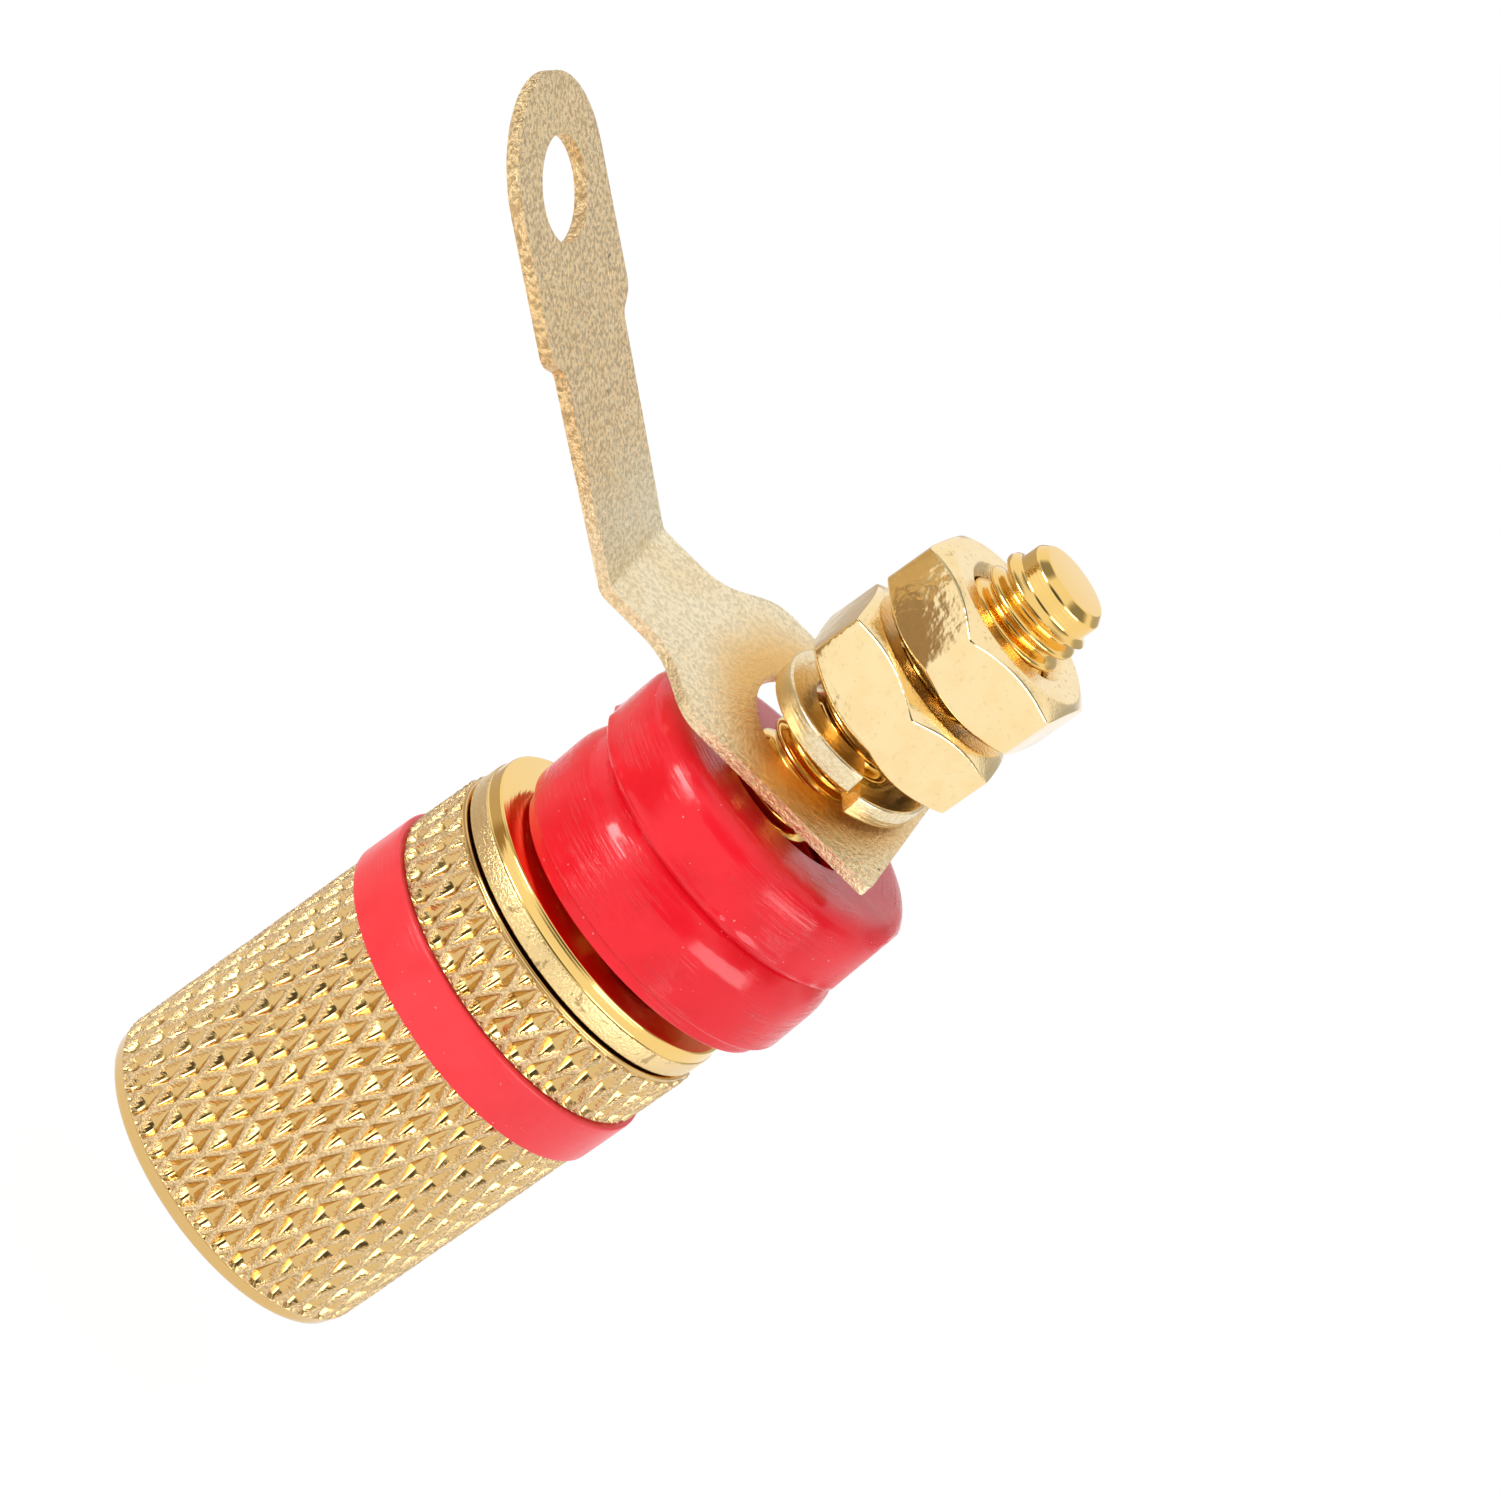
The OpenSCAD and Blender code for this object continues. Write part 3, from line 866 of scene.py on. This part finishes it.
class BindingPostWasher(bpy.types.Operator):
    """Make the split spring washer"""

    bl_idname = "binding_post.washer"
    bl_label = "Spring washer"

    def execute(self, context):
        thick, rise = WASHER_T, WASHER_RISE
        base = mm_box("inner_nut")[0][2] - WASHER_GAP - thick
        middle = base + (thick - rise) / 2
        inside, outside = WASHER_R
        section = rounded([
            (inside, 0, 0.1), (outside, 0, 0.1), (outside, thick, 0.12), (inside, thick, 0.1),
        ], steps=4)
        steps = 150
        along = np.linspace(0, 1, steps + 1)
        a = np.radians(WASHER_START - WASHER_SPAN * along)[:, None]
        r, up = section[:, 0][None, :], section[:, 1][None, :]
        points = np.stack([r * np.cos(a), r * np.sin(a), base - middle - rise * along[:, None] + up], -1)
        count = len(section)
        faces = [
            (i * count + j, i * count + (j + 1) % count, (i + 1) * count + (j + 1) % count, (i + 1) * count + j)
            for i in range(steps) for j in range(count)
        ]
        faces += [tuple(range(count)), tuple(steps * count + j for j in range(count))]
        piece = new_piece("split_washer", points.reshape(-1, 3), faces, merge=False)
        piece.data.set_sharp_from_angle(angle=math.radians(50))
        lean = Matrix.Rotation(WASHER_TURN[0], 4, "Y") @ Matrix.Rotation(WASHER_TURN[1], 4, "X")
        lean = Matrix.Translation((0, 0, middle * MM)) @ lean
        dress(piece, "spring_washer", "post_body", gold_washer(), lean)
        return {"FINISHED"}


def hexagon_nut(name, low, high, corner):
    """A nut with turned-off corners, countersunk bore and softened edges, and one corner at an angle in degrees."""
    a = angles(360)
    side = np.mod(a - math.radians(corner), TURN / 6) - TURN / 12
    hexagon = NUT_AF / 2 / np.cos(side)
    across = NUT_AF / math.cos(math.pi / 6) / 2
    hexagon = (hexagon**-70 + (across - 0.02) ** -70) ** (-1 / 70)
    face = NUT_AF / 2 * NUT_FACE_SHARE
    chamfer = (hexagon - face) * NUT_CHAMFER
    flat = np.ones(len(a))
    bore, rim = NUT_BORE_R * flat, NUT_RIM_R * flat
    corners = [
        (bore, low + NUT_SINK * flat), (rim, low * flat), (face * flat, low * flat), (hexagon, low + chamfer),
        (hexagon, high - chamfer), (face * flat, high * flat), (rim, high * flat), (bore, high - NUT_SINK * flat),
    ]
    rows, mask = [], []
    count = len(corners)
    for i, here in enumerate(corners):
        here = np.array(here)
        back, on = np.array(corners[i - 1]) - here, np.array(corners[(i + 1) % count]) - here
        start = here + back * np.minimum(NUT_EDGE / np.hypot(*back), 0.4)
        end = here + on * np.minimum(NUT_EDGE / np.hypot(*on), 0.4)
        for t in (0, 0.25, 0.5, 0.75, 1):
            rows.append(start * (1 - t) ** 2 + here * 2 * t * (1 - t) + end * t * t)
            mask.append(0.0 if i in (3, 4) else 1.0)
    rows = np.array(rows)
    frost = np.array(mask)[:, None] * flat[None, :]
    return turned(name, rows[:, 0], rows[:, 1], masks={"frost": frost})


class BindingPostNuts(bpy.types.Operator):
    """Make the two hexagon nuts"""

    bl_idname = "binding_post.nuts"
    bl_label = "Nuts"

    def execute(self, context):
        material = gold_nut()
        for node, corner in NUT_TURNS.items():
            low, high = (place[2] for place in mm_box(node))
            piece = hexagon_nut(node.replace("_", "_hex_"), low, high, corner)
            dress(piece, node, node + "_body", material)
        return {"FINISHED"}


# ---------- stage ----------

# Where the camera stands, in metres, and the directions that it takes as right, up and back
EYE = Vector((0.001633, 0.22651, 0.10372))
RIGHT = Vector((-0.5764, -0.2701, 0.7712))
UP = Vector((0.8171, -0.1905, 0.5440))
BACK = Vector((0, 0.9438, 0.3305))
# Its lens and sensor, in mm
LENS, SENSOR = 172.8, 36
# The middle of the object, in metres
MIDDLE = Vector((0.004, 0, 0.019))


def seen(right, up, back):
    """A direction given as the camera sees it."""
    return (RIGHT * right + UP * up + BACK * back).normalized()


def lamp(name, direction, distance, size, energy):
    """A soft lamp that looks at the object from a direction."""
    light = bpy.data.lights.new(name, "AREA")
    light.shape, light.size, light.size_y, light.energy = "RECTANGLE", *size, energy
    holder = bpy.data.objects.new(name, light)
    bpy.context.scene.collection.objects.link(holder)
    holder.location = MIDDLE + direction * distance
    holder.rotation_euler = (-direction).to_track_quat("-Z", "Y").to_euler()


# Dim parts of the light tent that metal mirrors: direction, half width in degrees, level
TENT = [
    (seen(0, 0, 1), 30, 0.1),
    (seen(-0.7, 0.68, 0.2), 20, 0.35),
    (seen(0.7, -0.12, -0.71), 21, 0.5),
    (seen(0.9, -0.3, 0.32), 26, 0.3),
    (seen(0.1, 0.95, 0.3), 22, 0.3),
]
# The floor lies below the thumb nut's travel, so the nut stays clear of it when it is unscrewed
FLOOR_Z = -0.0057
# Painted reflection: a warm dark patch on the floor towards +X that only mirrors see, so metal reflects shade there;
# in metres, where it starts and its far side
MIRRORED_FLOOR_SHADE = (0.02, 0.05)
MIRRORED_SHADE_COLOUR = (0.27, 0.155, 0.05)
# The floor's glow and its share, which add up to white with the light on its matte part
FLOOR_GLOW, GLOW_SHARE = 1.05, 0.88


def show_white(graph):
    """1 where the camera looks straight at a surface, or sees it in metal or through glass."""
    straight, mirrored, through = (
        graph.node("ShaderNodeLightPath", out=name)
        for name in ("Is Camera Ray", "Is Glossy Ray", "Is Transmission Ray")
    )
    return (straight + mirrored + through).math("MINIMUM", 1.0)


class BindingPostStage(bpy.types.Operator):
    """Make the floor, the light tent, the lamps and the camera"""

    bl_idname = "binding_post.stage"
    bl_label = "Stage"

    def execute(self, context):
        studio = settings().studio
        scene = context.scene
        self.camera(scene)
        self.floor()
        self.tent()
        self.world(scene, studio)
        lamp("key_lamp", seen(-0.45, 0.6, 0.66), 0.5, (0.22, 0.16), studio.key)
        lamp("fill_lamp", seen(0.4, -0.72, 0.55), 0.55, (0.45, 0.3), studio.fill)
        scene.view_settings.view_transform = "Standard"
        return {"FINISHED"}

    def camera(self, scene):
        data = bpy.data.cameras.new("camera")
        data.lens, data.sensor_width, data.clip_start, data.clip_end = LENS, SENSOR, 0.01, 20
        camera = bpy.data.objects.new("camera", data)
        scene.collection.objects.link(camera)
        turn = Matrix((RIGHT, UP, BACK)).transposed().to_4x4()
        camera.matrix_world = Matrix.Translation(EYE) @ turn
        scene.camera = camera

    def floor(self):
        bpy.ops.mesh.primitive_circle_add(vertices=96, radius=1.6, fill_type="NGON", location=(0, 0, FLOOR_Z))
        floor = bpy.context.object
        floor.name = "floor"
        material = bpy.data.materials.new("floor_white")
        graph = Graph(material)
        matte = graph.node("ShaderNodeBsdfDiffuse", {"Color": (0.97, 0.97, 0.97, 1)})
        x, y, _ = graph.axes(graph.node("ShaderNodeTexCoord", out="Object"))
        start, side = MIRRORED_FLOOR_SHADE
        # Painted reflection: only in mirrors, the floor turns to a warm dark patch towards +X.
        mirrored = graph.node("ShaderNodeLightPath", out="Is Glossy Ray")
        across = (y.between(-0.02, 0.012) * 0.35 + 0.65) * (1 - y.between(side - 0.006, side + 0.008))
        floor_with_mirrored_shade = graph.mix(x.between(start, start + 0.02) * across * mirrored, (1, 1, 1), MIRRORED_SHADE_COLOUR)
        white = graph.node("ShaderNodeEmission", {"Color": floor_with_mirrored_shade, "Strength": FLOOR_GLOW})
        surface = graph.node("ShaderNodeMixShader", {0: show_white(graph) * GLOW_SHARE, 1: matte, 2: white})
        graph.node("ShaderNodeOutputMaterial", {"Surface": surface})
        floor.data.materials.append(material)

    def tent(self):
        bpy.ops.mesh.primitive_uv_sphere_add(segments=48, ring_count=24, radius=0.9, location=MIDDLE)
        tent = bpy.context.object
        tent.name = "light_tent"
        material = bpy.data.materials.new("tent_cloth")
        graph = Graph(material)
        place = graph.node("ShaderNodeTexCoord", out="Object")
        toward = graph.node("ShaderNodeVectorMath", {0: place}, operation="NORMALIZE")
        level = 1.0
        for direction, width, shade in TENT:
            facing = graph.node(
                "ShaderNodeVectorMath", {0: toward, 1: tuple(direction)}, out="Value", operation="DOT_PRODUCT"
            )
            inside = facing.between(math.cos(math.radians(width * 1.25)), math.cos(math.radians(width * 0.55)))
            level = (1 - inside * (1 - shade)) * level
        light = graph.node("ShaderNodeEmission", {"Color": level, "Strength": 1.0})
        graph.node("ShaderNodeOutputMaterial", {"Surface": light})
        tent.data.materials.append(material)
        tent.visible_camera = tent.visible_diffuse = tent.visible_shadow = False
        tent.visible_transmission = False

    def world(self, scene, studio):
        world = bpy.data.worlds.new("sky")
        scene.world = world
        graph = Graph(world)
        even = graph.node("ShaderNodeBackground", {"Color": (1, 1, 1, 1), "Strength": studio.sky})
        white = graph.node("ShaderNodeBackground", {"Color": (1, 1, 1, 1), "Strength": 1.0})
        surface = graph.node("ShaderNodeMixShader", {0: show_white(graph), 1: even, 2: white})
        graph.node("ShaderNodeOutputWorld", {"Surface": surface})


class BindingPostPanel(bpy.types.Panel):
    """Lists the pieces and the stage"""

    bl_idname = "VIEW3D_PT_binding_post"
    bl_label = "Binding Post"
    bl_space_type = "VIEW_3D"
    bl_region_type = "UI"
    bl_category = "Binding Post"

    def draw(self, context):
        post = context.scene.binding_post
        for group in (post.knurl, post.thread, post.gold, post.plastic, post.studio):
            box = self.layout.box()
            for name in group.__annotations__:
                box.prop(group, name)
        for operator in OPERATORS:
            self.layout.operator(operator.bl_idname)


GROUPS = (KnurlSettings, ThreadSettings, GoldSettings, PlasticSettings, StudioSettings, BindingPostSettings)
OPERATORS = (
    BindingPostThumbNut, BindingPostRing, BindingPostPost, BindingPostInsulators, BindingPostLug,
    BindingPostWasher, BindingPostNuts, BindingPostStage,
)
CLASSES = (*GROUPS, *OPERATORS, BindingPostPanel)


def register():
    for cls in CLASSES:
        bpy.utils.register_class(cls)
    bpy.types.Scene.binding_post = PointerProperty(type=BindingPostSettings)


def unregister():
    del bpy.types.Scene.binding_post
    for cls in reversed(CLASSES):
        bpy.utils.unregister_class(cls)


def main():
    """Makes every piece and the stage."""
    register()
    bpy.ops.binding_post.thumb_nut()
    bpy.ops.binding_post.ring()
    bpy.ops.binding_post.post()
    bpy.ops.binding_post.insulators()
    bpy.ops.binding_post.lug()
    bpy.ops.binding_post.washer()
    bpy.ops.binding_post.nuts()
    bpy.ops.binding_post.stage()
    bpy.context.view_layer.update()


if __name__ == "__main__":
    main()
